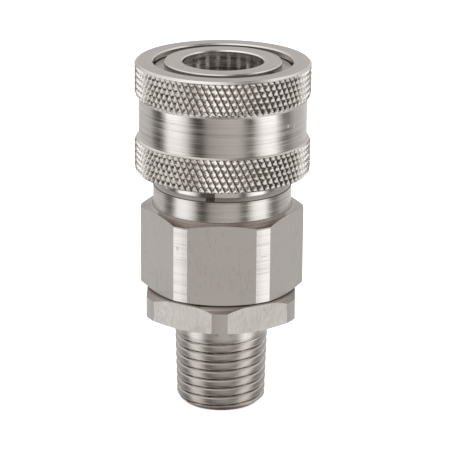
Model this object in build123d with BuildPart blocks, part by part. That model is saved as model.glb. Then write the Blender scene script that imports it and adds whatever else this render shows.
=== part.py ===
# Quick coupler socket, the female half, with a ball lock and a poppet valve.
# It stands upright on the end of its pipe thread, with its mouth up.
# All sizes are in millimetres. The origin is the centre of the thread end.
import os
from math import cos, radians, sin, sqrt, tan

from build123d import *

os.makedirs("parts", exist_ok=True)

# Lengths along the axis, stacked from the thread end up to the mouth
thread_length = 11.6
thread_neck_length = 2.45
adapter_hex_length = 4.45
body_hex_length = 12.7
guide_length = 3.0
neck_length = 2.7
nose_length = 16.1

# The two hexes, both turned down at their corners
hex_across_flats = 22.2
corners_turned_off = 0.62
hex_rim_slope = 20.0
hex_rim_width = 1.6
adapter_rim_slope = 33.0
adapter_rim_width = 0.9
adapter_rim_drop = 0.2
adapter_hex_turn = 28.85

# Pipe thread, right-hand and tapered 1 in 16, with rounded crests and narrow grooves
thread_end_radius = 6.63
thread_taper = 1.0 / 32.0
thread_lead = 0.85
threads_per_inch = 18
thread_groove_width = 0.6
thread_groove_depth = 0.56
thread_first_groove = 1.03
thread_fade = 1.2
thread_crest_inset = 0.05
thread_sides = 36
thread_backing = 1.5
thread_core_inset = 1.05
flow_bore_radius = 3.8

# Nose of the body, which takes the probe of the mating plug
probe_bore_radius = 6.0
probe_bore_lead = 0.18
nose_wall = 2.7
neck_step = 1.0
guide_step = 0.6

# Retaining ring that stops the sleeve near the mouth
ring_inset = 1.0
ring_thickness = 1.0
ring_bite = 0.5
ring_width = 1.9
ring_side_play = 0.2
ring_gap = 1.3
ring_gap_angle = -30.0

# Locking balls, in holes that leave a thin lip at the bore
ball_count = 8
ball_radius = 1.75
ball_below_ring = 3.4
ball_lip = 0.15
ball_bore_clearance = 0.02

# Release sleeve
sleeve_travel = 3.0
sleeve_wall = 2.03
skirt_overlap = 0.5
cam_lead = 0.3
cam_relief = 0.13
land_length = 1.7
lower_grip_length = 4.85
upper_grip_length = 4.7
grip_height = 0.6
grip_shoulder = 0.87
grip_chamfer = 0.33

# Diamond knurl on the two grips
knurl_teeth = 80
knurl_rows = 5
knurl_depth = 0.34
knurl_backing = 0.8

# Probe seal and the backup ring above it
ball_to_seal = 2.7
seal_groove_depth = 1.55
seal_wire = 1.8
backup_height = 1.05
backup_play = 0.08

# Valve seat, chamber and the threaded socket for the adapter
probe_land = 5.0
probe_stop_width = 1.7
seat_bore_length = 3.5
socket_wall = 2.8
socket_depth = 9.0
gasket_width = 1.1
gasket_height = 0.5
spigot_wall = 1.85
pocket_depth = 7.6

# Poppet, its seal and its guide
nose_flow_gap = 1.3
nose_stand = 1.4
head_flow_gap = 1.6
poppet_head_height = 1.2
poppet_stem_radius = 1.5
poppet_stem_inset = 0.6
poppet_seal_wire = 1.1
poppet_seal_offset = 0.4
guide_plate_height = 2.4
guide_hub_wall = 1.05
guide_hub_height = 1.2
guide_hole_radius = 1.05
guide_hole_count = 8

# Springs
sleeve_spring_wire = 1.2
sleeve_spring_turns = 5
valve_spring_wire = 0.8
valve_spring_play = 0.4
valve_spring_turns = 5
coil_sides = 20
wire_ring_sides = 8

# Clearances and edge breaks
running_fit = 0.05
skirt_clearance = 0.12
seated_gap = 0.03
edge_break = 0.3
fine_edge_break = 0.15

# Heights worked out from the lengths
adapter_hex_bottom = thread_length + thread_neck_length
joint_face = adapter_hex_bottom + adapter_hex_length
guide_bottom = joint_face + body_hex_length
guide_top = guide_bottom + guide_length
spring_seat = guide_top + neck_length
mouth_height = spring_seat + nose_length
ring_top = mouth_height - ring_inset
ring_bottom = ring_top - ring_thickness
ball_height = ring_bottom - ball_below_ring
seal_groove_top = ball_height - ball_to_seal
seal_groove_bottom = seal_groove_top - seal_wire - backup_height - running_fit
probe_stop = seal_groove_bottom - probe_land
seat_height = probe_stop - seat_bore_length
socket_top = joint_face + socket_depth
spigot_top = socket_top - gasket_height
pocket_floor = spigot_top - pocket_depth
guide_plate_top = pocket_floor + guide_plate_height
sleeve_top = mouth_height
sleeve_bottom = spring_seat - skirt_overlap
sleeve_stop = ring_bottom - seated_gap

# Radii worked out from the bores, walls and clearances
flat_radius = hex_across_flats / 2
hex_corner_radius = flat_radius / cos(radians(30)) - corners_turned_off
nose_radius = probe_bore_radius + nose_wall
neck_radius = nose_radius + neck_step
guide_radius = neck_radius + guide_step
ring_inner_radius = nose_radius - ring_bite
ring_outer_radius = ring_inner_radius + ring_width
land_radius = nose_radius + running_fit
skirt_radius = guide_radius + skirt_clearance
waist_radius = skirt_radius + sleeve_wall
grip_radius = waist_radius + grip_height
sleeve_mouth_radius = ring_outer_radius + ring_side_play
seal_groove_radius = probe_bore_radius + seal_groove_depth
seat_bore_radius = probe_bore_radius - probe_stop_width
socket_radius = flat_radius - socket_wall
chamber_radius = socket_radius - gasket_width
spigot_radius = socket_radius - running_fit
pocket_radius = spigot_radius - spigot_wall
guide_hub_radius = poppet_stem_radius + running_fit + guide_hub_wall
valve_spring_radius = guide_hub_radius + valve_spring_play + valve_spring_wire / 2
poppet_nose_radius = seat_bore_radius - nose_flow_gap
poppet_head_radius = chamber_radius - head_flow_gap
poppet_seal_radius = seat_bore_radius + poppet_seal_offset

# Ball lock: the cam lets each ball out by just enough to clear the bore
ball_rest_radius = nose_radius - ball_radius
ball_travel = probe_bore_radius + ball_bore_clearance + ball_radius - ball_rest_radius
ball_pocket_floor = probe_bore_radius + ball_lip
ball_lip_radius = sqrt((ball_radius + seated_gap) ** 2 - (ball_rest_radius - ball_pocket_floor) ** 2)
cam_ratio = ball_travel / sleeve_travel
cam_bottom = ball_height - cam_lead
cam_top_radius = nose_radius + ball_travel + cam_relief
cam_top = cam_bottom + (cam_top_radius - land_radius) / cam_ratio
land_bottom = cam_bottom - land_length

# Valve: the seat and the poppet's head are parallel cones at 45 degrees
seat_bottom = seat_height - (chamber_radius - seat_bore_radius)
cone_reach = chamber_radius + seat_bottom - seated_gap * sqrt(2)
head_top = cone_reach - poppet_head_radius
head_bottom = head_top - poppet_head_height
poppet_seal_bottom = cone_reach - poppet_seal_radius - poppet_seal_wire / 2 * (1 + sqrt(2))
poppet_groove_inner = poppet_seal_radius - poppet_seal_wire / 2 - seated_gap
poppet_groove_outer = poppet_seal_radius + poppet_seal_wire / 2 + seated_gap


# How far a cone of a given slope falls over a width
def fall(slope, width):
    return width * tan(radians(slope))


# A point at a radius, an angle in degrees and a height
def polar(radius, angle, height):
    return (radius * cos(radians(angle)), radius * sin(radians(angle)), height)


# A hex bar of the common wrench size, turned about the axis
def hex_bar(turn, bottom, top):
    with BuildSketch(Plane.XY.offset(bottom)) as section:
        RegularPolygon(flat_radius, 6, major_radius=False, rotation=turn)
    extrude(section.sketch, amount=top - bottom)


# A profile of radius and height points, revolved about the axis
def turned(points, mode=Mode.ADD):
    with BuildSketch(Plane.XZ) as profile:
        with BuildLine():
            Polyline(*points, close=True)
        make_face()
    revolve(profile.sketch, axis=Axis.Z, mode=mode)


# A sealing ring about the axis, its section a many-sided round
def wire_ring(wire, radius, bottom):
    with BuildSketch(Plane.XZ) as section:
        with Locations((radius, bottom + wire / 2)):
            RegularPolygon(wire / 2, wire_ring_sides)
    revolve(section.sketch, axis=Axis.Z)


# A spring of six-sided wire that stands between two flat seats
def coil(wire, radius, bottom, top, turns):
    low = bottom + seated_gap + wire / 2
    rise = top - bottom - 2 * seated_gap - wire
    steps = coil_sides * turns
    points = []
    for step in range(steps + 1):
        points.append(polar(radius, 360 * step / coil_sides, low + rise * step / steps))
    with BuildLine() as path:
        Polyline(*points)
    with BuildSketch(Plane(origin=path.line @ 0, z_dir=path.line % 0)) as section:
        RegularPolygon(wire / 2, 6)
    sweep(section.sketch, path=path.line, transition=Transition.RIGHT)


# Planes that face outward through each ball, at a distance from the axis
def ball_planes(radius):
    planes = []
    for number in range(ball_count):
        angle = 360 * (number + 0.5) / ball_count
        planes.append(Plane(origin=polar(radius, angle, ball_height), z_dir=polar(1, angle, 0)))
    return planes


# A ring of crossed knurl: rows of peaks and hollows between two plain rims.
# Each diamond is a low pyramid, and its four edges are the crossing grooves.
def knurled_band(rim_low, crest_low, crest_high, rim_high):
    steps = 2 * knurl_teeth
    rings = [[polar(rim_low[0], 180 * step / knurl_teeth, rim_low[1]) for step in range(steps)]]
    for row in range(knurl_rows + 1):
        height = crest_low + (crest_high - crest_low) * row / knurl_rows
        ring = []
        for step in range(steps):
            depth = knurl_depth * ((step + row + 1) % 2)
            ring.append(polar(grip_radius - depth, 180 * step / knurl_teeth, height))
        rings.append(ring)
    rings.append([polar(rim_high[0], 180 * step / knurl_teeth, rim_high[1]) for step in range(steps)])
    faces = []
    for row, (lower, upper) in enumerate(zip(rings, rings[1:])):
        for step in range(steps):
            after = (step + 1) % steps
            if (step + row) % 2:
                corners = [(lower[step], lower[after], upper[after]), (lower[step], upper[after], upper[step])]
            else:
                corners = [(lower[step], lower[after], upper[step]), (lower[after], upper[after], upper[step])]
            faces += [Face(Wire.make_polygon(triangle)) for triangle in corners]
    for ring, height in ((rings[0], rim_low[1]), (rings[-1], rim_high[1])):
        hole = Wire.make_circle(waist_radius - knurl_backing, Plane.XY.offset(height))
        faces.append(Face(Wire.make_polygon(ring), [hole]))
    inner_edge = Edge.make_circle(waist_radius - knurl_backing, Plane.XY.offset(rim_low[1]))
    faces.append(Face.extrude(inner_edge, (0, 0, rim_high[1] - rim_low[1])))
    return Solid(Shell(faces))


# A ring of right-hand taper thread on a many-sided helix, longer than the thread at
# both ends. Each groove is a crest edge, a root and a crest edge, one pitch apart.
def thread_ring():
    pitch = IN / threads_per_inch
    rows = [(turn, side) for turn in range(-2, int(thread_length / pitch) + 2) for side in (-1, 0, 1)]

    def column(step):
        points = []
        for turn, side in rows:
            height = thread_first_groove + pitch * (turn + step / thread_sides) + side * thread_groove_width / 2
            radius = thread_end_radius - thread_crest_inset + height * thread_taper
            if side == 0:
                radius -= thread_groove_depth * min(1, max(0, (thread_length - height) / thread_fade))
            points.append(polar(radius, 360 * step / thread_sides - 90, height))
        return points

    inner_radius = thread_end_radius - thread_backing
    columns = [column(step) for step in range(thread_sides + 1)]
    lows = [polar(inner_radius, 360 * step / thread_sides - 90, line[0][2]) for step, line in enumerate(columns)]
    highs = [polar(inner_radius, 360 * step / thread_sides - 90, line[-1][2]) for step, line in enumerate(columns)]
    outlines = []
    for step in range(thread_sides):
        here, after = columns[step], columns[step + 1]
        for row in range(len(rows) - 1):
            outlines.append((here[row], after[row], after[row + 1]))
            outlines.append((here[row], after[row + 1], here[row + 1]))
        outlines.append((lows[step], lows[step + 1], after[0]))
        outlines.append((lows[step], after[0], here[0]))
        outlines.append((highs[step], highs[step + 1], after[-1]))
        outlines.append((highs[step], after[-1], here[-1]))
        wall = [lows[step], lows[step + 1], highs[step + 1], highs[step]]
        if step == 0:
            wall.append(lows[-1])
        if step == thread_sides - 1:
            wall.insert(2, highs[0])
        outlines.append(wall)
    outlines.append((*columns[0][:4], lows[-1], lows[0]))
    outlines.append((*columns[-1][-4:], highs[-1], highs[0]))
    return Solid(Shell([Face(Wire.make_polygon(outline)) for outline in outlines]))


# Socket body: hex, guide, neck and nose turned from one bar
with BuildPart() as socket_body:
    hex_bar(0, joint_face, guide_bottom)
    turned(
        [
            (0, joint_face),
            (hex_corner_radius - hex_rim_width, joint_face),
            (hex_corner_radius, joint_face + fall(hex_rim_slope, hex_rim_width)),
            (hex_corner_radius, guide_bottom - fall(hex_rim_slope, hex_corner_radius - guide_radius)),
            (guide_radius, guide_bottom),
            (0, guide_bottom),
        ],
        mode=Mode.INTERSECT,
    )
    turned(
        [
            (0, guide_bottom),
            (guide_radius, guide_bottom),
            (guide_radius, guide_top),
            (neck_radius, guide_top + guide_step),
            (neck_radius, spring_seat),
            (nose_radius, spring_seat),
            (nose_radius, ring_bottom),
            (ring_inner_radius - running_fit, ring_bottom),
            (ring_inner_radius - running_fit, ring_top),
            (nose_radius, ring_top),
            (nose_radius, mouth_height - fine_edge_break),
            (nose_radius - fine_edge_break, mouth_height),
            (0, mouth_height),
        ]
    )
    turned(
        [
            (0, mouth_height),
            (probe_bore_radius + probe_bore_lead, mouth_height),
            (probe_bore_radius, mouth_height - probe_bore_lead),
            (probe_bore_radius, seal_groove_top),
            (seal_groove_radius, seal_groove_top),
            (seal_groove_radius, seal_groove_bottom),
            (probe_bore_radius, seal_groove_bottom),
            (probe_bore_radius, probe_stop),
            (seat_bore_radius + edge_break, probe_stop),
            (seat_bore_radius, probe_stop - edge_break),
            (seat_bore_radius, seat_height),
            (chamber_radius, seat_bottom),
            (chamber_radius, socket_top),
            (socket_radius, socket_top),
            (socket_radius, joint_face + edge_break),
            (socket_radius + edge_break, joint_face),
            (0, joint_face),
        ],
        mode=Mode.SUBTRACT,
    )
    with Locations(*ball_planes(nose_radius)):
        CounterBoreHole(
            ball_lip_radius,
            ball_radius + running_fit,
            nose_radius - ball_pocket_floor,
            depth=nose_radius - ball_rest_radius + ball_radius,
        )

# The taper thread, cut off square and chamfered at the end of the adapter
with BuildPart() as thread_stub:
    add(thread_ring())
    turned(
        [
            (0, 0),
            (thread_end_radius - thread_lead, 0),
            (thread_end_radius + thread_lead, 2 * thread_lead),
            (hex_corner_radius, 2 * thread_lead),
            (hex_corner_radius, thread_length),
            (0, thread_length),
        ],
        mode=Mode.INTERSECT,
    )

# Thread adapter: small hex, taper thread and the spigot inside the body
with BuildPart() as thread_adapter:
    adapter_rim_top = joint_face - adapter_rim_drop
    adapter_collar_radius = hex_corner_radius - adapter_rim_width
    thread_top_radius = thread_end_radius + thread_length * thread_taper
    thread_core_radius = thread_end_radius - thread_core_inset
    hex_bar(adapter_hex_turn, adapter_hex_bottom, joint_face)
    turned(
        [
            (0, adapter_hex_bottom),
            (hex_corner_radius - hex_rim_width, adapter_hex_bottom),
            (hex_corner_radius, adapter_hex_bottom + fall(hex_rim_slope, hex_rim_width)),
            (hex_corner_radius, adapter_rim_top - fall(adapter_rim_slope, adapter_rim_width)),
            (adapter_collar_radius, adapter_rim_top),
            (adapter_collar_radius, joint_face),
            (0, joint_face),
        ],
        mode=Mode.INTERSECT,
    )
    turned(
        [
            (0, 0),
            (thread_core_radius, 0),
            (thread_core_radius, thread_length),
            (thread_top_radius, thread_length),
            (thread_top_radius, adapter_hex_bottom),
            (0, adapter_hex_bottom),
        ]
    )
    add(thread_stub)
    turned(
        [
            (0, joint_face),
            (spigot_radius, joint_face),
            (spigot_radius, spigot_top - edge_break),
            (spigot_radius - edge_break, spigot_top),
            (0, spigot_top),
        ]
    )
    turned(
        [
            (0, 0),
            (flow_bore_radius + edge_break, 0),
            (flow_bore_radius, edge_break),
            (flow_bore_radius, pocket_floor),
            (pocket_radius, pocket_floor),
            (pocket_radius, spigot_top),
            (0, spigot_top),
        ],
        mode=Mode.SUBTRACT,
    )

# Release sleeve: the turned core, with the cam and stop inside
lower_crest_top = sleeve_bottom + lower_grip_length
upper_crest_bottom = sleeve_top - upper_grip_length
lower_grip = knurled_band(
    (grip_radius - grip_chamfer, sleeve_bottom),
    sleeve_bottom + grip_chamfer,
    lower_crest_top,
    (waist_radius, lower_crest_top + grip_shoulder),
)
upper_grip = knurled_band(
    (waist_radius, upper_crest_bottom - grip_shoulder),
    upper_crest_bottom,
    sleeve_top - grip_chamfer,
    (grip_radius - grip_chamfer, sleeve_top),
)
with BuildPart() as release_sleeve:
    turned(
        [
            (skirt_radius, sleeve_bottom),
            (waist_radius - knurl_backing, sleeve_bottom),
            (waist_radius - knurl_backing, lower_crest_top + grip_shoulder),
            (waist_radius, lower_crest_top + grip_shoulder),
            (waist_radius, upper_crest_bottom - grip_shoulder),
            (waist_radius - knurl_backing, upper_crest_bottom - grip_shoulder),
            (waist_radius - knurl_backing, sleeve_top),
            (sleeve_mouth_radius, sleeve_top),
            (sleeve_mouth_radius, sleeve_stop),
            (cam_top_radius, sleeve_stop),
            (cam_top_radius, cam_top),
            (land_radius, cam_bottom),
            (land_radius, land_bottom),
            (skirt_radius, land_bottom),
        ]
    )
    add(lower_grip)
    add(upper_grip)

# Retaining ring, split so that it snaps over the nose
with BuildPart() as sleeve_retaining_ring:
    with BuildSketch(Plane.XY.offset(ring_bottom)):
        Circle(ring_outer_radius)
        Circle(ring_inner_radius, mode=Mode.SUBTRACT)
        with PolarLocations(ring_outer_radius, 1, start_angle=ring_gap_angle):
            Rectangle(3 * ring_width, ring_gap, mode=Mode.SUBTRACT)
    extrude(amount=ring_thickness)

# Probe seal, its backup ring and the gasket between the two halves of the body
with BuildPart() as probe_seal:
    wire_ring(seal_wire, seal_groove_radius - seal_wire / 2 - seated_gap, seal_groove_bottom)

with BuildPart() as probe_backup_ring:
    with BuildSketch(Plane.XY.offset(seal_groove_bottom + seal_wire + seated_gap)):
        Circle(seal_groove_radius - running_fit)
        Circle(probe_bore_radius + backup_play, mode=Mode.SUBTRACT)
    extrude(amount=backup_height)

with BuildPart() as body_gasket:
    with BuildSketch(Plane.XY.offset(spigot_top)):
        Circle(socket_radius - running_fit)
        Circle(chamber_radius, mode=Mode.SUBTRACT)
    extrude(amount=gasket_height)

# Valve guide: a drilled plate with a hub that carries the poppet's stem
with BuildPart() as valve_guide:
    with BuildSketch(Plane.XY.offset(pocket_floor)):
        Circle(pocket_radius - running_fit)
        with PolarLocations((pocket_radius + valve_spring_radius) / 2, guide_hole_count):
            Circle(guide_hole_radius, mode=Mode.SUBTRACT)
    extrude(amount=guide_plate_height)
    with BuildSketch(Plane.XY.offset(guide_plate_top)):
        Circle(guide_hub_radius)
    extrude(amount=guide_hub_height)
    with Locations((0, 0, guide_plate_top + guide_hub_height)):
        Hole(poppet_stem_radius + running_fit)

# Poppet: nose, coned head with its seal groove, and stem in one turning
poppet_stem_bottom = pocket_floor + poppet_stem_inset
poppet_nose_top = probe_stop + nose_stand
with BuildPart() as valve_poppet:
    turned(
        [
            (0, poppet_stem_bottom),
            (poppet_stem_radius - fine_edge_break, poppet_stem_bottom),
            (poppet_stem_radius, poppet_stem_bottom + fine_edge_break),
            (poppet_stem_radius, head_bottom),
            (poppet_head_radius, head_bottom),
            (poppet_head_radius, head_top),
            (poppet_groove_outer, cone_reach - poppet_groove_outer),
            (poppet_groove_outer, poppet_seal_bottom - seated_gap),
            (poppet_groove_inner, poppet_seal_bottom - seated_gap),
            (poppet_groove_inner, cone_reach - poppet_groove_inner),
            (poppet_nose_radius, cone_reach - poppet_nose_radius),
            (poppet_nose_radius, poppet_nose_top - edge_break),
            (poppet_nose_radius - edge_break, poppet_nose_top),
            (0, poppet_nose_top),
        ]
    )

with BuildPart() as poppet_seal:
    wire_ring(poppet_seal_wire, poppet_seal_radius, poppet_seal_bottom)

# Springs
with BuildPart() as sleeve_spring:
    spring_radius = (nose_radius + skirt_radius) / 2
    coil(sleeve_spring_wire, spring_radius, spring_seat, land_bottom, sleeve_spring_turns)

with BuildPart() as valve_spring:
    coil(valve_spring_wire, valve_spring_radius, guide_plate_top, head_bottom, valve_spring_turns)

# Write each piece
pieces = {
    "socket_body": socket_body,
    "thread_adapter": thread_adapter,
    "release_sleeve": release_sleeve,
    "sleeve_retaining_ring": sleeve_retaining_ring,
    "probe_seal": probe_seal,
    "probe_backup_ring": probe_backup_ring,
    "body_gasket": body_gasket,
    "valve_guide": valve_guide,
    "valve_poppet": valve_poppet,
    "poppet_seal": poppet_seal,
    "sleeve_spring": sleeve_spring,
    "valve_spring": valve_spring,
}
for name, piece in pieces.items():
    piece.part.label = name
    export_step(piece.part, f"parts/{name}.step")

for number, plane in enumerate(ball_planes(ball_rest_radius), start=1):
    with BuildPart() as locking_ball:
        with Locations(plane):
            Sphere(ball_radius)
    locking_ball.part.label = f"locking_ball_{number}"
    export_step(locking_ball.part, f"parts/locking_ball_{number}.step")
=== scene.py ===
import math

import bpy
from mathutils import Matrix, Vector


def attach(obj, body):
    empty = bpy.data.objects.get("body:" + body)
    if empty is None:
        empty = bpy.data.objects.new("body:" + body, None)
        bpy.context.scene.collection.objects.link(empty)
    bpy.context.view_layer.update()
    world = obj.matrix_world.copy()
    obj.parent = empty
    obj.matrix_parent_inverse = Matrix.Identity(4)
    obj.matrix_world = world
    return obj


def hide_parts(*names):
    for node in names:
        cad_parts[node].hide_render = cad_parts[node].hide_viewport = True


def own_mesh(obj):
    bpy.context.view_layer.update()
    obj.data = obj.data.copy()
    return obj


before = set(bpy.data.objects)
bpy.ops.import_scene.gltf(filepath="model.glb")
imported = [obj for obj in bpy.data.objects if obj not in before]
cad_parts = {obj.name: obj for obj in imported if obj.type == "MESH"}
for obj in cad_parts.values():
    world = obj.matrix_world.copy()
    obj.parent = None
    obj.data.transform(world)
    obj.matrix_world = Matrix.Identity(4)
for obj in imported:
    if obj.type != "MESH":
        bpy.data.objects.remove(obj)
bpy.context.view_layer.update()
mm = 0.001


class Sig:  # one output of a node, with the operators that shader and geometry maths need
    def __init__(self, tree, socket):
        self.tree = tree
        self.socket = socket

    def feed(self, socket):
        self.tree.links.new(self.socket, socket)

    def node(self, kind, settings=None, inputs=None):
        made = self.tree.nodes.new(kind)
        for name, value in (settings or {}).items():
            if name == "stops":
                setStops(made.color_ramp, value)
            else:
                setattr(made, name, value)
        for name, value in (inputs or {}).items():
            if isinstance(value, Sig):
                value.feed(made.inputs[name])
            else:
                made.inputs[name].default_value = value
        return made

    def get(self, kind, settings=None, inputs=None, output=0):
        return Sig(self.tree, self.node(kind, settings, inputs).outputs[output])

    def math(self, operation, *others):
        return self.get("ShaderNodeMath", {"operation": operation}, dict(enumerate([self, *others])))

    def __add__(self, other):
        return self.math("ADD", other)

    def __sub__(self, other):
        return self.math("SUBTRACT", other)

    def __mul__(self, other):
        return self.math("MULTIPLY", other)

    def __truediv__(self, other):
        return self.math("DIVIDE", other)

    def __radd__(self, other):
        return self.math("ADD", other)

    def __rmul__(self, other):
        return self.math("MULTIPLY", other)

    def __rsub__(self, other):
        return (self * -1.0).math("ADD", other)

    def __neg__(self):
        return self * -1.0

    def step(self, none, full):  # 0 up to the first value and 1 from the second on, which may be the lower one
        values = {"Value": self, "From Min": none, "From Max": full}
        return self.get("ShaderNodeMapRange", {"interpolation_type": "SMOOTHSTEP"}, values)

    def window(self, low, high, soft):  # 1 between low and high, with soft edges
        return self.step(low - soft, low + soft) * self.step(high + soft, high - soft)


def setStops(ramp, stops):
    while len(ramp.elements) < len(stops):
        ramp.elements.new(1.0)
    for element, (place, colour) in zip(ramp.elements, stops):
        element.position = place
        element.color = (*colour, 1.0)


def split(start, vector):
    parts = start.node("ShaderNodeSeparateXYZ", None, {0: vector})
    return [Sig(start.tree, out) for out in parts.outputs]


def joined(start, x, y, z):
    return start.get("ShaderNodeCombineXYZ", None, {0: x, 1: y, 2: z})


def axisParts(start, position):  # radius, angle and height of a point about the axis
    x, y, z = split(start, position)
    return (x * x + y * y).math("SQRT"), y.math("ARCTAN2", x), z


def newObject(name, data):
    made = bpy.data.objects.new(name, data)
    bpy.context.collection.objects.link(made)
    return made


# Camera, fitted to the outlines of the coupler

cameraSizes = {
    "place": (0.0, -0.34880, 0.14065),
    "aim": (0.000458, 0.0, 0.02757),
    "roll": math.radians(0.445),
    "focal": 195.53,
    "sensor": 36.0,
    "clipStart": 0.01,
}


def makeCamera():
    sizes = cameraSizes
    data = bpy.data.cameras.new("camera")
    data.lens = sizes["focal"]
    data.sensor_width = sizes["sensor"]
    data.clip_start = sizes["clipStart"]
    look = Vector(sizes["aim"]) - Vector(sizes["place"])
    turn = look.to_track_quat("-Z", "Y").to_matrix() @ Matrix.Rotation(sizes["roll"], 3, "Z")
    camera = newObject("camera", data)
    camera.matrix_world = Matrix.Translation(sizes["place"]) @ turn.to_4x4()
    bpy.context.scene.camera = camera


# Studio: a white floor and a tent whose brightness changes with direction, as soft boxes do

studio = {
    "floorHalf": 1.2,
    "floorWhite": 0.93,
    "floorGlow": 0.58,
    "floorRoughness": 0.9,
    "lampPower": 0.35,
    "lampSize": 0.35,
    "lampPlace": (0.35, -0.28, 0.45),  # of the right-hand one, which the other mirrors
    "lampAim": (0.0, 0.0, 0.02),
    "dimTint": (1.0, 0.942, 0.895),  # of the dimmer parts of the tent
    "whiteFrom": (0.4, 1.15),  # brightness at which that tint begins to go, and is gone
    "asideFrom": (85, 115),  # degrees from the lens at which the tent begins to be whiter, and is
    "asideWhite": 0.7,
    "crownFrom": (8, 30),  # degrees above the horizon at which the crown takes over from the tent
    "loftFrom": (48, 66),  # and the loft from the crown
    "shadeFrom": (38, 54),  # degrees below the horizon at which the shade takes over
    "tent": (  # direction round the coupler in degrees, from the lens to the right, and brightness
        (-180, 0.64), (-150, 0.64), (-132, 0.66), (-116, 0.62), (-106, 0.24), (-95, 0.10),
        (-88, 0.45), (-80, 1.30), (-62, 1.30), (-50, 0.92), (-42, 0.30), (-36, 0.08), (-28, 0.10),
        (-20, 0.42), (-5, 0.52), (10, 0.58), (26, 0.58), (32, 0.32), (40, 0.14), (48, 0.80),
        (58, 1.35), (76, 1.45), (84, 0.70), (92, 0.26), (102, 0.26), (114, 0.52), (130, 0.62),
        (152, 0.74), (180, 0.64),
    ),
    "crown": (  # the same for light from above
        (-180, 0.80), (-120, 1.10), (-85, 1.35), (-50, 1.10), (-20, 1.05),
        (40, 0.80), (90, 1.30), (130, 0.85), (180, 0.80),
    ),
    "loft": (  # the same for light that falls steeply
        (-180, 0.55), (-162, 0.55), (-148, 1.05), (-90, 1.35), (-50, 1.45), (0, 1.10), (20, 0.90),
        (46, 0.25), (58, 0.05), (94, 0.05), (108, 0.70), (120, 0.95), (150, 0.95), (164, 0.55), (180, 0.55),
    ),
    "shade": (  # the same for light from steeply below
        (-180, 0.06), (-140, 0.12), (-115, 1.30), (-70, 1.30), (-45, 0.12), (0, 0.06),
        (45, 0.12), (70, 1.30), (115, 1.30), (140, 0.12), (180, 0.06),
    ),
}


def ramp(start, value, stops):
    return start.get("ShaderNodeValToRGB", {"stops": stops}, {0: value})


def seenDirectly(start):  # 1 for what the lens sees, also through something clear
    rays = start.node("ShaderNodeLightPath").outputs
    return Sig(start.tree, rays["Is Camera Ray"]) + Sig(start.tree, rays["Is Transmission Ray"])


def makeWorld():
    world = bpy.data.worlds.new("studio")
    bpy.context.scene.world = world
    world.use_nodes = True
    world.node_tree.nodes.clear()
    start = Sig(world.node_tree, None)
    x, y, z = split(start, start.get("ShaderNodeTexCoord", None, None, "Generated"))
    heading = x.math("ARCTAN2", -y) / (2 * math.pi) + 0.5
    height = z.math("ARCSINE") * (180 / math.pi)
    ramps = []
    for name in ("tent", "crown", "loft", "shade"):
        stops = [((turn + 180) / 360, (level, level, level)) for turn, level in studio[name]]
        ramps.append(ramp(start, heading, stops))
    around, over, above, under = ramps
    up, high = height.step(*studio["crownFrom"]), height.step(*studio["loftFrom"])
    deep = (-height).step(*studio["shadeFrom"])
    level = around * (1 - up - deep) + over * (up - high) + above * high + under * deep
    seen = seenDirectly(start)
    strength = seen + (1 - seen) * level
    turned = (heading - 0.5).math("ABSOLUTE") * 360
    aside = turned.step(*studio["asideFrom"]) * studio["asideWhite"]
    white = (seen + level.step(*studio["whiteFrom"])).math("MAXIMUM", aside).math("MINIMUM", 1.0)
    tint = [white * (1 - share) + share for share in studio["dimTint"]]
    light = start.get("ShaderNodeBackground", None, {"Color": joined(start, *tint), "Strength": strength})
    start.node("ShaderNodeOutputWorld", None, {"Surface": light})


def makeFloor():
    half, white = studio["floorHalf"], studio["floorWhite"]
    corners = [(-half, -half, 0), (half, -half, 0), (half, half, 0), (-half, half, 0)]
    mesh = bpy.data.meshes.new("floor")
    mesh.from_pydata(corners, [], [(0, 1, 2, 3)])
    floor = newObject("floor", mesh)
    material = bpy.data.materials.new("floorWhite")
    material.use_nodes = True
    start = Sig(material.node_tree, None)
    inputs = material.node_tree.nodes["Principled BSDF"].inputs
    inputs["Base Color"].default_value = (white, white, white, 1)
    inputs["Roughness"].default_value = studio["floorRoughness"]
    inputs["Specular IOR Level"].default_value = 0.0
    inputs["Emission Strength"].default_value = 1.0
    (seenDirectly(start) * studio["floorGlow"]).feed(inputs["Emission Color"])
    mesh.materials.append(material)
    floor.visible_glossy = False


def makeLamps():
    x, y, z = studio["lampPlace"]
    for side in (-1, 1):
        data = bpy.data.lights.new("softBox", "AREA")
        data.energy = studio["lampPower"]
        data.size = studio["lampSize"]
        lamp = newObject("softBox", data)
        lamp.location = (side * x, y, z)
        aim = Vector(studio["lampAim"]) - lamp.location
        lamp.rotation_euler = aim.to_track_quat("-Z", "Y").to_euler()
        lamp.visible_glossy = False


makeCamera()
makeWorld()
makeFloor()
makeLamps()
bpy.context.scene.view_settings.view_transform = "Standard"
print("studio ready")


# Finishes. Limits of zones are in mm: (none, full) for an edge, or (low, high, softness) for a band.
# A tone is -1 for the darkest painted shade, as in a groove or a joint, 0 for dull steel and 1 for bright steel.

steel = {
    "colours": ((0.0, (0.10, 0.085, 0.075)), (0.5, (0.34, 0.30, 0.275)), (1.0, (0.735, 0.704, 0.676))),
    "tone": 0.86,
    "toneLines": 2.2,
    "toneClouds": 0.25,
    "rough": 0.24,
    "roughLines": 0.7,
    "roughClouds": 0.1,
    "lines": (0.5, 4200.0, 4200.0),  # cycles of tool marks per radian, and per metre of radius and height
    "clouds": 220.0,
    "lineDepth": 0.01,  # mm
    "lineStrength": 0.3,
    "dentDepth": 0.06,  # mm
    "brushing": 0.55,
    "brushingTurn": 0.25,
}

milling = {  # on the sides of both hexagons
    "distance": (11.088, 11.112, 0.004),  # from the axis
    "endSoftness": 0.05,  # mm
    "grain": (45.0, 500.0, 900.0),
    "toneGrain": 1.5,
    "toneClouds": 0.5,
    "roughGrain": 0.3,
}


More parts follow.
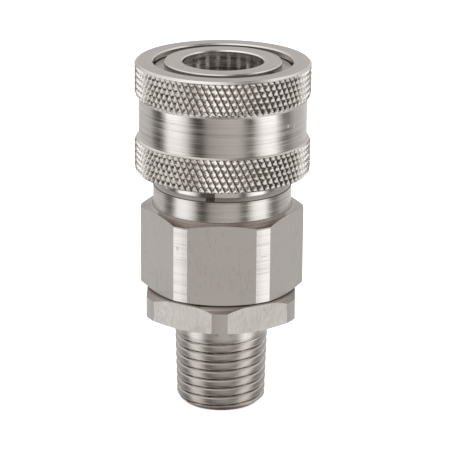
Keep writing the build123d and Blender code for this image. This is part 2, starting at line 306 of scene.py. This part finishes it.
def newMaterial(name):
    material = bpy.data.materials.new(name)
    material.use_nodes = True
    start = Sig(material.node_tree, None)
    place = start.get("ShaderNodeTexCoord", None, None, "Object")
    return material, material.node_tree.nodes["Principled BSDF"].inputs, start, place


def noise(start, vector, scale, detail=3.0, rough=0.6):
    values = {"Vector": vector, "Scale": scale, "Detail": detail, "Roughness": rough}
    return start.get("ShaderNodeTexNoise", None, values)


def bump(start, height, strength, depth, under=None):
    values = {"Strength": strength, "Distance": depth * mm, "Height": height}
    if under is not None:
        values["Normal"] = under
    return start.get("ShaderNodeBump", None, values)


def within(value, limits):
    sizes = [size * mm for size in limits]
    return value.step(*sizes) if len(sizes) == 2 else value.window(*sizes)


class Steel:  # a turned steel finish, on which zones of other finishes are laid one by one
    def __init__(self, name):
        self.material, self.inputs, self.start, place = newMaterial(name)
        self.radius, self.angle, self.height = axisParts(self.start, place)
        self.tool = noise(self.start, self.wrapped(steel["lines"]), 1.0, 3.0, 0.65)
        self.lines = self.tool - 0.5
        self.clouds = noise(self.start, place, steel["clouds"], 3.0, 0.55) - 0.5
        self.tone = self.lines * steel["toneLines"] + self.clouds * steel["toneClouds"] + steel["tone"]
        self.rough = self.lines * steel["roughLines"] + self.clouds * steel["roughClouds"] + steel["rough"]
        self.relief = self.tool
        self.dents = None

    def wrapped(self, cycles):  # where noise that runs round the axis is read
        parts = zip((self.angle, self.radius, self.height), cycles)
        return joined(self.start, *(part * rate for part, rate in parts))

    def area(self, zone, mask=None):  # 1 within a zone's own limits and within a mask
        for name, value in (("radius", self.radius), ("height", self.height)):
            if name in zone:
                inside = within(value, zone[name])
                mask = inside if mask is None else mask * inside
        return mask

    def cover(self, mask, tone, rough, relief=None):
        keep = 1 - mask
        self.tone = self.tone * keep + mask * tone
        self.rough = self.rough * keep + mask * rough
        if relief is not None:
            self.relief = self.relief * keep + mask * relief

    def lay(self, zone, mask=None, tone=0.0, rough=0.0, relief=None):  # tone and rough add to the zone's own
        mask = self.area(zone, mask)
        tone, rough = tone + zone["tone"], rough + zone["rough"]
        if "toneLines" in zone:
            tone = self.lines * zone["toneLines"] + tone
        if "roughLines" in zone:
            rough = self.lines * zone["roughLines"] + rough
        self.cover(mask, tone, rough, zone.get("relief", relief))
        return mask

    def mill(self, hexagon):  # the six sides of a hexagon
        corner = (self.angle - math.radians(hexagon["turn"])).math("PINGPONG", math.pi / 6)
        sides = within(self.radius * corner.math("COSINE"), milling["distance"])
        mask = sides * within(self.height, (*hexagon["ends"], milling["endSoftness"]))
        grain = noise(self.start, self.wrapped(milling["grain"]), 1.0, 4.0, 0.7)
        coarse = grain - 0.5
        tone = coarse * milling["toneGrain"] + self.clouds * milling["toneClouds"] + hexagon["tone"]
        self.cover(mask, tone, coarse * milling["roughGrain"] + hexagon["rough"], grain)

    def spot(self, mark):  # 1 inside a small oval, so wide in radians and so tall in mm
        across = (self.angle - math.radians(mark["azimuth"] - 90)) / mark["wide"]
        up = (self.height - mark["level"] * mm) / (mark["tall"] * mm)
        return (across * across + up * up).step(1.0, 0.1)

    def dent(self, mark):
        hollow = self.spot(mark) * mark["share"]
        self.dents = hollow if self.dents is None else self.dents + hollow

    def finish(self, brushing=steel["brushing"]):
        ramp(self.start, (self.tone + 1.0) / 2.0, steel["colours"]).feed(self.inputs["Base Color"])
        self.rough.feed(self.inputs["Roughness"])
        normal = bump(self.start, self.relief, steel["lineStrength"], steel["lineDepth"])
        if self.dents is not None:
            normal = bump(self.start, -self.dents, 1.0, steel["dentDepth"], normal)
        normal.feed(self.inputs["Normal"])
        self.inputs["Metallic"].default_value = 1.0
        self.inputs["Anisotropic"].default_value = brushing
        self.inputs["Anisotropic Rotation"].default_value = steel["brushingTurn"]
        return self.material


bodyFinish = {
    "bore": {"radius": (6.25, 6.15), "height": (37.0, 37.2), "tone": 1.0, "toneLines": 0.6, "rough": 0.22},
    "rings": {"height": (52.8, 52.74), "tone": 1.05, "rough": 0.2},  # in the bore, up to its bright lead
    "ringCycles": (0.6, 0.0, 1900.0),
    "ringTone": 4.5,
    "ringClouds": 1.2,
    "ringRough": 0.5,
    # Painted shade: the cone under the guide is darkened, most at the guide's foot.
    "cone": {"radius": (10.31, 10.33), "height": (30.3, 31.3, 0.05), "tone": -0.9, "toneLines": 0.8, "rough": 0.2},
    "coneEdge": (10.36, 10.5),
    "coneRise": 1.1,  # in tone, over that edge, as the painted shade fades outwards
    "hexagon": {"turn": -90, "ends": (18.4, 31.3), "tone": 1.05, "rough": 0.42},
    # Painted shade: the nose's outer wall is dulled, for the shade in the gap inside the sleeve's mouth.
    "noseWall": {"radius": (8.6, 8.8, 0.02), "height": (50.0, 52.75, 0.05), "tone": 0.5, "rough": 0.3},
    "neck": {
        "radius": (9.5, 9.9, 0.02), "height": (34.7, 37.2, 0.05),
        "tone": 1.0, "toneLines": 0.8, "rough": 0.12, "roughLines": 0.3,
    },
    "ledge": {"radius": (9.72, 10.28, 0.01), "height": (34.2, 34.82, 0.02), "tone": 1.0, "rough": 0.5},
    # Painted shade: a dark line along the outer edge of the ledge, on top of the guide.
    "ledgeFoot": {"radius": (10.16, 10.2), "tone": -1.0, "rough": 0.5},
    # Painted shade: a narrow dark slit on the neck and ledge, standing for the shaded gap of a split ring under
    # the sleeve.
    "notch": {"radius": (9.5, 9.6), "height": (34.22, 35.7, 0.03), "tone": -0.5, "rough": 0.5},
    "notchTurn": -100.0,
    "notchHalf": (0.068, 0.062),  # radians
    "notchOuter": (10.25, 10.2),
    "rim": {
        "radius": (6.2, 8.56, 0.02), "height": (52.92, 52.96), "tone": 0.5, "toneLines": 0.7, "rough": 0.28,
    },
    "dimple": {"azimuth": -32, "level": 27.2, "wide": 0.012, "tall": 0.4, "share": 0.6},
    "scratch": {
        "azimuth": 30.5, "level": 26.17, "wide": 0.085, "tall": 0.06, "tone": 0.1, "rough": 0.4, "relief": 0.2,
    },
}


def bodySteel():
    made, zones = Steel("bodySteel"), bodyFinish
    bore = made.lay(zones["bore"])
    rings = noise(made.start, made.wrapped(zones["ringCycles"]), 1.0)
    tone = (rings - 0.5) * zones["ringTone"] + made.clouds * zones["ringClouds"]
    made.lay(zones["rings"], bore, tone, (rings - 0.5) * zones["ringRough"], rings)
    made.lay(zones["cone"], None, within(made.radius, zones["coneEdge"]) * zones["coneRise"])
    made.mill(zones["hexagon"])
    made.lay(zones["noseWall"])
    made.lay(zones["neck"])
    ledge = made.lay(zones["ledge"])
    made.lay(zones["ledgeFoot"], ledge)
    # the dark slit of painted shade
    turned = (made.angle - math.radians(zones["notchTurn"])).math("ABSOLUTE")
    made.lay(zones["notch"], turned.step(*zones["notchHalf"]) * within(made.radius, zones["notchOuter"]))
    made.lay(zones["rim"])
    made.dent(zones["dimple"])
    made.lay(zones["scratch"], made.spot(zones["scratch"]))
    return made.finish()


thread = {  # the pipe thread, in mm, for its finish here and its shape below
    "endRadius": 6.65,
    "taper": 1 / 32,
    "pitch": 1.4111,
    "depth": 0.5,
    "phase": 0.98,  # turns
    "fadeFrom": 10.4,
    "fadeTo": 11.6,
    "foot": 0.02,
    "lead": 0.85,
    "top": 11.9,
    "hidden": 14.4,
    "innerRadius": 5.2,
    "columns": 180,
    "rowStep": 0.075,
    "weld": 0.001,
    "smooth": 20,  # degrees
}

adapterFinish = {
    "brushing": 0.3,
    "thread": {"height": (11.9, 11.4), "tone": 0.24, "toneLines": 0.9, "rough": 0.34, "roughLines": 0.3},
    "footShade": 11.5,  # painted shade: below this height the tone falls towards the end of the thread, nearest the floor
    "footShadeTone": 0.35,
    "outside": {"radius": (5.9, 6.0), "height": (0.6, 0.8)},
    "flank": {"tone": 1.0, "rough": 0.1, "relief": 0.5},  # painted highlight, on smoother steel: a bright line on one side of each groove
    "flankReach": (0.14, 0.07),  # turns from the bottom of the groove
    "flankSide": (0.45, 0.55),
    # Painted shade in the root of each groove.
    "root": {"tone": -0.5, "rough": 0.2, "relief": 0.5},
    "rootReach": (0.06, 0.02),
    "neck": {"radius": (7.2, 7.1), "height": (11.7, 14.0, 0.1), "tone": 1.1, "toneLines": 0.5, "rough": 0.38},
    "strip": {"radius": (12.1, 12.15), "height": (14.0, 17.7, 0.02), "tone": 1.1, "toneLines": 0.7, "rough": 0.42},
    # Painted shade: the top of the small hexagon is darkened under the large one.
    "rim": {"radius": (11.2, 11.25), "height": (17.71, 17.73), "tone": -0.15, "toneLines": 0.6, "rough": 0.3},
    "hexagon": {"turn": -61.15, "ends": (14.0, 18.6), "tone": 0.63, "rough": 0.46},
    # Painted shade in the joint between the two hexagons.
    "collar": {"radius": (10.8, 10.85), "height": (18.22, 18.26), "tone": -0.3, "rough": 0.5},
    "collarTop": (18.44, 18.46),
    "collarShade": -0.7,  # in tone, over that edge: more painted shade right under the large hexagon
    "dot": {
        "azimuth": 41.4, "level": 15.27, "wide": 0.008, "tall": 0.12, "tone": -0.4, "rough": 0.5, "relief": 0.0,
    },
}


def adapterSteel():
    made, zones = Steel("adapterSteel"), adapterFinish
    # painted shade, darker towards the foot of the thread
    footShade = (made.height / (zones["footShade"] * mm)).math("MINIMUM", 1.0) * zones["footShadeTone"]
    low = made.lay(zones["thread"], None, footShade)
    turn = made.height / (thread["pitch"] * mm) - made.angle / (2 * math.pi) - thread["phase"]
    reach = turn.math("PINGPONG", 0.5)
    outside = made.area(zones["outside"], low)
    flank = reach.step(*zones["flankReach"]) * turn.math("FRACT").step(*zones["flankSide"])
    # a painted highlight on one flank of each groove
    made.lay(zones["flank"], flank * outside)
    made.lay(zones["root"], reach.step(*zones["rootReach"]) * outside)
    for name in ("neck", "strip", "rim"):
        made.lay(zones[name])
    made.mill(zones["hexagon"])
    made.lay(zones["collar"], None, within(made.height, zones["collarTop"]) * zones["collarShade"])
    made.lay(zones["dot"], made.spot(zones["dot"]))
    return made.finish(zones["brushing"])


sleeveFinish = {
    "grip": {"tone": 1.0, "rough": 0.09, "relief": 0.5},
    "gripClouds": 0.3,
    "gripRough": 0.06,
    "grooves": (0.72, 1.0),  # share of the knurl's depth past which its grooves get painted shade
    "grooveShade": -1.3,
    "undersides": (0.1, 0.28),  # share by which a face looks down, over which it gets painted shade
    "undersideShade": -0.6,
    "waist": {"radius": (12.6, 12.5), "height": (41.4, 47.5, 0.1)},
    "waistRough": 0.24,
    "waistLines": 0.6,
    "waistTop": (45.5, 47.3),
    "waistRise": 0.2,  # in tone, over that edge: painted light on the top of the waist, where the shoulder above shades it
    "waistPolish": -0.09,
    # The shoulder's bright tone is painted light, lifting the dark that its downward face reflects; its roughness
    # is its own.
    "shoulder": {"height": (47.45, 48.0, 0.03), "tone": 1.2, "toneLines": 0.6, "rough": 0.55},
    "mouth": {
        "radius": (10.5, 12.7, 0.02), "height": (52.95, 52.99), "tone": 0.5, "toneLines": 0.7, "rough": 0.3,
    },
    # Painted shade: the inner wall of the mouth is darker than the steel outside.
    "inside": {"radius": (10.36, 10.28), "tone": 0.5, "rough": 0.16},
    "dents": (
        {"azimuth": 49.4, "level": 45.32, "wide": 0.024, "tall": 0.3, "share": 2.5},
        {"azimuth": 56.2, "level": 44.99, "wide": 0.024, "tall": 0.3, "share": 2.5},
    ),
}


def sleeveSteel():
    made, zones = Steel("sleeveSteel"), sleeveFinish
    start = made.start
    rolled = start.get("ShaderNodeAttribute", {"attribute_name": "grip"}, None, "Fac")
    deep = start.get("ShaderNodeAttribute", {"attribute_name": "groove"}, None, "Fac")
    facing = split(start, start.get("ShaderNodeNewGeometry", None, None, "Normal"))
    under = (-facing[2]).step(*zones["undersides"])  # painted shade on the faces of the teeth that look down
    # painted shade in the deep grooves of the knurl
    tone = made.clouds * zones["gripClouds"] + deep.step(*zones["grooves"]) * zones["grooveShade"]
    tone = tone + under * zones["undersideShade"]
    made.lay(zones["grip"], rolled, tone, made.clouds * zones["gripRough"])
    # the top of the waist gets painted light, and is smoother
    top = within(made.height, zones["waistTop"])
    rough = made.lines * zones["waistLines"] + zones["waistRough"] + top * zones["waistPolish"]
    made.cover(made.area(zones["waist"]), made.tone + top * zones["waistRise"], rough)
    made.lay(zones["shoulder"], 1 - rolled)
    made.lay(zones["mouth"])
    made.lay(zones["inside"])
    for mark in zones["dents"]:
        made.dent(mark)
    return made.finish()


smallSteels = {
    "springSteel": {
        "scale": 900.0, "detail": 4.0, "fine": 0.7, "rough": 0.16, "roughGrain": 0.25,
        "colours": ((0.3, (0.30, 0.285, 0.27)), (0.7, (0.56, 0.535, 0.51))),
    },
    "ballSteel": {
        "scale": 500.0, "detail": 3.0, "fine": 0.5, "rough": 0.03, "roughGrain": 0.08,
        "colours": ((0.3, (0.60, 0.59, 0.585)), (0.7, (0.72, 0.71, 0.70))),
    },
}

seals = {
    "clouds": 260.0,
    "grain": 4000.0,
    "cloudShare": 0.6,
    "roughGrain": 0.3,
    "grainDepth": 0.01,  # mm
    "grainStrength": 0.25,
    "blackRubber": {"rough": 0.4, "colours": ((0.3, (0.012, 0.012, 0.012)), (0.7, (0.03, 0.029, 0.028)))},
    "whitePtfe": {"rough": 0.3, "colours": ((0.3, (0.74, 0.73, 0.70)), (0.7, (0.84, 0.83, 0.80)))},
}


def smallSteel(name):
    look = smallSteels[name]
    material, inputs, start, place = newMaterial(name)
    grain = noise(start, place, look["scale"], look["detail"], look["fine"])
    ramp(start, grain, look["colours"]).feed(inputs["Base Color"])
    (grain * look["roughGrain"] + look["rough"]).feed(inputs["Roughness"])
    inputs["Metallic"].default_value = 1.0
    return material


def softSeal(name):  # with a fine moulding grain and faint mottling
    look = seals[name]
    material, inputs, start, place = newMaterial(name)
    clouds, grain = noise(start, place, seals["clouds"]), noise(start, place, seals["grain"])
    mixed = clouds * seals["cloudShare"] + grain * (1 - seals["cloudShare"])
    ramp(start, mixed, look["colours"]).feed(inputs["Base Color"])
    (grain * seals["roughGrain"] + look["rough"]).feed(inputs["Roughness"])
    bump(start, grain, seals["grainStrength"], seals["grainDepth"]).feed(inputs["Normal"])
    return material


steelBody = bodySteel()
steelSleeve = sleeveSteel()
steelThread = adapterSteel()
steelSmall = Steel("smallPartSteel").finish()
steelSpring = smallSteel("springSteel")
steelBall = smallSteel("ballSteel")
blackRubber = softSeal("blackRubber")
whitePtfe = softSeal("whitePtfe")
print("finishes ready")


# Meshes turned about the axis, and the trees that work them

def lathe(name, rings, columns, mark, values, lean=0.0):  # rings of (radius, height) in mm, closed into a loop
    points = []
    for radius, height in rings:
        for column in range(columns):
            angle = 2 * math.pi * column / columns - lean * height
            points.append((radius * math.cos(angle) * mm, radius * math.sin(angle) * mm, height * mm))
    faces = []
    for row in range(len(rings)):
        first, above = row * columns, (row + 1) % len(rings) * columns
        for column in range(columns):
            after = (column + 1) % columns
            faces.append((first + column, first + after, above + after, above + column))
    mesh = bpy.data.meshes.new(name)
    mesh.from_pydata(points, [], faces)
    layer = mesh.attributes.new(mark, "FLOAT", "POINT")
    layer.data.foreach_set("value", [value for value in values for column in range(columns)])
    return newObject(name, mesh)


def spread(start, end, step):  # points from start up to end, not end itself
    reach = [far - near for near, far in zip(start, end)]
    count = max(1, round(math.hypot(*reach) / step))
    return [tuple(near + far * k / count for near, far in zip(start, reach)) for k in range(count)]


def newTree(name, floats):
    tree = bpy.data.node_groups.new(name, "GeometryNodeTree")
    sockets = [("Geometry", "Geometry"), *((label, "Float") for label in floats), ("Material", "Material")]
    for label, kind in sockets:
        tree.interface.new_socket(label, in_out="INPUT", socket_type="NodeSocket" + kind)
    tree.interface.new_socket("Geometry", in_out="OUTPUT", socket_type="NodeSocketGeometry")
    start = Sig(tree, None)
    entry = start.node("NodeGroupInput")
    return tree, start, {out.name: Sig(tree, out) for out in entry.outputs if out.name}


def closeTree(start, sockets, geometry):
    solid = start.get("GeometryNodeRealizeInstances", None, {0: geometry})
    dressed = start.get("GeometryNodeSetMaterial", None, {"Geometry": solid, "Material": sockets["Material"]})
    start.node("NodeGroupOutput", None, {0: dressed})


def stored(start, name):
    return start.get("GeometryNodeInputNamedAttribute", {"data_type": "FLOAT"}, {"Name": name})


def turnedTo(start, sockets, position, radius, worked, mask):  # brings the masked surface in to a worked radius
    share = (worked - radius) * mask / radius
    factors = joined(start, share, share, 0.0)
    offset = start.get("ShaderNodeVectorMath", {"operation": "MULTIPLY"}, {0: position, 1: factors})
    return start.get("GeometryNodeSetPosition", None, {"Geometry": sockets["Geometry"], "Offset": offset})


def bake(piece):  # the mesh that the modifiers give takes the place of the piece's own
    bpy.context.view_layer.update()
    depsgraph = bpy.context.evaluated_depsgraph_get()
    result = bpy.data.meshes.new_from_object(piece.evaluated_get(depsgraph))
    piece.modifiers.clear()
    old = piece.data
    piece.data = result
    bpy.data.meshes.remove(old)


def applyTree(piece, tree, values):
    modifier = piece.modifiers.new(tree.name, "NODES")
    modifier.node_group = tree
    for item in tree.interface.items_tree:
        if item.in_out == "INPUT" and item.name in values:
            modifier[item.identifier] = values[item.name]
    bake(piece)


def smooth(piece, angle):
    piece.data.polygons.foreach_set("use_smooth", [True] * len(piece.data.polygons))
    piece.data.set_sharp_from_angle(angle=math.radians(angle))


# Release sleeve with its two knurled grips, in mm

sleeve = {
    "bottom": 36.4,
    "top": 53.0,
    "skirtRadius": 10.42,
    "gripRadius": 13.05,
    "waistRadius": 12.45,
    "chamfer": 0.33,
    "lowerCrest": (36.73, 41.25),
    "upperCrest": (48.3, 52.67),
    "crestEnd": 0.02,  # of the upper grip, left plain
    "shoulder": 0.87,
    "lowerShoulder": 0.34,
    "bend": 0.4,  # share of a shoulder at which it bends
    "mouthRadius": 10.3,
    "mouthBreak": 0.2,
    "stopHeight": 50.97,
    "stopRadius": 9.65,
    "camTop": 50.59,
    "camBottom": 47.3,
    "landBottom": 45.6,
    "landRadius": 8.75,
    "teeth": 80.0,
    "lean": 0.48,  # turns of one family of grooves per mm, and of the family that crosses it
    "crossLean": 0.67,
    "depth": 0.40,
    "crossDepth": 0.36,
    "slope": 0.85,  # of the sides of the teeth
    "columns": 640,
    "rowStep": 0.1,
    "smooth": 25,  # degrees
}


def knurlTree():
    labels = ["Teeth", "Lean", "Cross Lean", "Depth", "Cross Depth", "Slope", "Grip Radius"]
    tree, start, sockets = newTree("knurl", labels)
    position = start.get("GeometryNodeInputPosition")
    radius, angle, height = axisParts(start, position)
    turns = angle * sockets["Teeth"] / (2 * math.pi)
    pitch = sockets["Grip Radius"] * (2 * math.pi) / sockets["Teeth"]
    reach = (turns + height * sockets["Lean"]).math("PINGPONG", 0.5) * pitch * sockets["Slope"]
    cross = (turns - height * sockets["Cross Lean"]).math("PINGPONG", 0.5) * pitch * sockets["Slope"]
    cut = (sockets["Depth"] - reach).math("MAXIMUM", sockets["Cross Depth"] - cross).math("MAXIMUM", 0.0)
    worked = radius.math("MINIMUM", sockets["Grip Radius"] - cut)
    grip = stored(start, "grip")
    moved = turnedTo(start, sockets, position, radius, worked, grip)
    values = {"Geometry": moved, "Name": "groove", "Value": cut / sockets["Depth"] * grip}
    marked = start.get("GeometryNodeStoreNamedAttribute", {"data_type": "FLOAT", "domain": "POINT"}, values)
    closeTree(start, sockets, marked)
    return tree


def makeSleeve():
    s = sleeve
    low, high, fine = s["lowerCrest"], s["upperCrest"], s["rowStep"]
    bend = s["gripRadius"] * (1 - s["bend"]) + s["waistRadius"] * s["bend"]
    outline = [  # radius, height, 1 where the knurl is cut, and the length of a face from there on
        (s["gripRadius"] - s["chamfer"], s["bottom"], 1, fine),
        (s["gripRadius"], low[0], 1, fine),
        (s["gripRadius"], low[1], 1, fine),
        (bend, low[1] + s["lowerShoulder"] * s["bend"], 0, 0.3),
        (s["waistRadius"], low[1] + s["lowerShoulder"], 0, 0.9),
        (s["waistRadius"], high[0] - s["shoulder"], 0, 0.3),
        (bend, high[0] - s["shoulder"] * s["bend"], 1, fine),
        (s["gripRadius"], high[0], 1, fine),
        (s["gripRadius"], high[1] - s["crestEnd"], 0, fine),
        (s["gripRadius"], high[1], 0, 0.2),
        (s["gripRadius"] - s["chamfer"], s["top"], 0, 0.8),
        (s["mouthRadius"] + s["mouthBreak"], s["top"], 0, 1.0),
        (s["mouthRadius"], s["top"] - s["mouthBreak"], 0, 1.0),
        (s["mouthRadius"], s["stopHeight"], 0, 1.0),
        (s["stopRadius"], s["stopHeight"], 0, 1.0),
        (s["stopRadius"], s["camTop"], 0, 1.2),
        (s["landRadius"], s["camBottom"], 0, 1.0),
        (s["landRadius"], s["landBottom"], 0, 1.2),
        (s["skirtRadius"], s["landBottom"], 0, 3.0),
        (s["skirtRadius"], s["bottom"], 0, 1.5),
    ]
    rings, grip = [], []
    for near, far in zip(outline, outline[1:] + outline[:1]):
        points = spread(near[:2], far[:2], near[3])
        rings += points
        grip += [near[2]] * len(points)
    slant = s["lean"] * 2 * math.pi / s["teeth"]
    piece = lathe("sleeveShell", rings, s["columns"], "grip", grip, slant)
    values = {"Teeth": s["teeth"], "Lean": s["lean"] / mm, "Cross Lean": s["crossLean"] / mm}
    values |= {"Depth": s["depth"] * mm, "Cross Depth": s["crossDepth"] * mm, "Slope": s["slope"]}
    values |= {"Grip Radius": s["gripRadius"] * mm, "Material": steelSleeve}
    applyTree(piece, knurlTree(), values)
    smooth(piece, s["smooth"])
    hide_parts("release_sleeve")
    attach(piece, "sleeve")


makeSleeve()
print("sleeve ready")


# Thread adapter: the solid, with a smooth right-hand taper thread round its many-sided one

def threadTree():
    labels = ["Pitch", "Depth", "Phase", "Fade From", "Fade To", "End Radius", "Taper"]
    tree, start, sockets = newTree("pipeThread", labels)
    position = start.get("GeometryNodeInputPosition")
    radius, angle, height = axisParts(start, position)
    turn = height / sockets["Pitch"] - angle / (2 * math.pi) - sockets["Phase"]
    side = 1 - turn.math("PINGPONG", 0.5) * 2.0  # 0 on a crest, 1 at a root
    run = (height - sockets["Fade From"]) / (sockets["Fade To"] - sockets["Fade From"])
    full = 1 - run.math("MAXIMUM", 0.0).math("MINIMUM", 1.0)  # share of the depth, less where the thread runs out
    crest = sockets["End Radius"] + height * sockets["Taper"]
    worked = radius.math("MINIMUM", crest - side.math("POWER", 4.0) * full * sockets["Depth"])
    moved = turnedTo(start, sockets, position, radius, worked, stored(start, "outside"))
    closeTree(start, sockets, moved)
    return tree


def makeThread():
    t = thread
    edge = (t["endRadius"] + t["lead"] * t["taper"], t["lead"] + t["foot"])
    high = (t["endRadius"] + t["top"] * t["taper"], t["top"])
    worked = spread((t["endRadius"] - t["lead"], t["foot"]), edge, t["rowStep"]) + spread(edge, high, t["rowStep"])
    plain = [high, (high[0], t["hidden"]), (t["innerRadius"], t["hidden"]), (t["innerRadius"], t["foot"])]
    outside = [1] * len(worked) + [0] * len(plain)
    piece = lathe("threadRing", worked + plain, t["columns"], "outside", outside)
    values = {"Pitch": t["pitch"] * mm, "Depth": t["depth"] * mm, "Phase": t["phase"], "Taper": t["taper"]}
    values |= {"Fade From": t["fadeFrom"] * mm, "Fade To": t["fadeTo"] * mm, "End Radius": t["endRadius"] * mm}
    applyTree(piece, threadTree(), values | {"Material": steelThread})
    return piece


def makeAdapter():
    piece = newObject("adapterShell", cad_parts["thread_adapter"].data.copy())
    piece.modifiers.new("weld", "WELD").merge_threshold = thread["weld"] * mm
    ring = makeThread()
    both = piece.modifiers.new("thread", "BOOLEAN")
    both.operation = "UNION"
    both.solver = "MANIFOLD"
    both.object = ring
    bake(piece)
    bpy.data.objects.remove(ring)
    piece.data.materials.clear()
    piece.data.materials.append(steelThread)
    smooth(piece, thread["smooth"])
    print("adapter faces", len(piece.data.polygons))
    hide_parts("thread_adapter")
    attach(piece, "socket")


makeAdapter()
print("thread ready")


# Springs of round wire, in mm

springs = {  # low and high bound the wire, and seat is the face under it, which stays where it is
    "sleeveCoil": {
        "replaces": "sleeve_spring", "joint": "sleeve_slide", "travel": 3.0,
        "low": 36.93, "high": 45.57, "seat": 36.9, "radius": 9.56, "wire": 1.2, "turns": 5.0,
    },
    "valveCoil": {
        "replaces": "valve_spring", "joint": "valve_slide", "travel": 3.0,
        "low": 21.83, "high": 30.93, "seat": 21.8, "radius": 3.4, "wire": 0.8, "turns": 5.0,
    },
    "steps": 40,  # lengths of wire in a turn
    "sides": 16,
    "smooth": 40,  # degrees
}


def coilTree():
    tree, start, sockets = newTree("coil", ["Low", "High", "Radius", "Wire", "Turns"])
    rise = sockets["High"] - sockets["Low"] - sockets["Wire"]
    values = {"Resolution": springs["steps"], "Rotations": sockets["Turns"], "Height": rise}
    values |= {"Start Radius": sockets["Radius"], "End Radius": sockets["Radius"]}
    path = start.get("GeometryNodeCurveSpiral", None, values)
    half = sockets["Wire"] / 2.0
    section = start.get("GeometryNodeCurvePrimitiveCircle", None, {"Resolution": springs["sides"], "Radius": half})
    tube = start.get("GeometryNodeCurveToMesh", None, {"Curve": path, "Profile Curve": section, "Fill Caps": True})
    lift = joined(start, 0.0, 0.0, sockets["Low"] + half)
    placed = start.get("GeometryNodeTransform", None, {"Geometry": tube, "Translation": lift})
    closeTree(start, sockets, placed)
    return tree


def makeSpring(name, tree):
    coil = springs[name]
    piece = newObject(name, bpy.data.meshes.new(name))
    values = {label.capitalize(): coil[label] * mm for label in ("low", "high", "radius", "wire")}
    applyTree(piece, tree, values | {"Turns": coil["turns"], "Material": steelSpring})
    smooth(piece, springs["smooth"])
    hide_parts(coil["replaces"])
    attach(piece, "socket")
    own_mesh(piece)


springTree = coilTree()
for name in ("sleeveCoil", "valveCoil"):
    makeSpring(name, springTree)
print("springs ready")


# Finishes of the solids that are kept

solidFinishes = {
    "socket_body": steelBody,
    "valve_poppet": steelSmall,
    "valve_guide": steelSmall,
    "sleeve_retaining_ring": steelSpring,
    "probe_seal": blackRubber,
    "poppet_seal": blackRubber,
    "probe_backup_ring": whitePtfe,
    "body_gasket": whitePtfe,
}
solidFinishes |= {f"locking_ball_{number}": steelBall for number in range(1, 9)}

for node, material in solidFinishes.items():
    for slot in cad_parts[node].material_slots:
        slot.material = material
print("solids dressed")
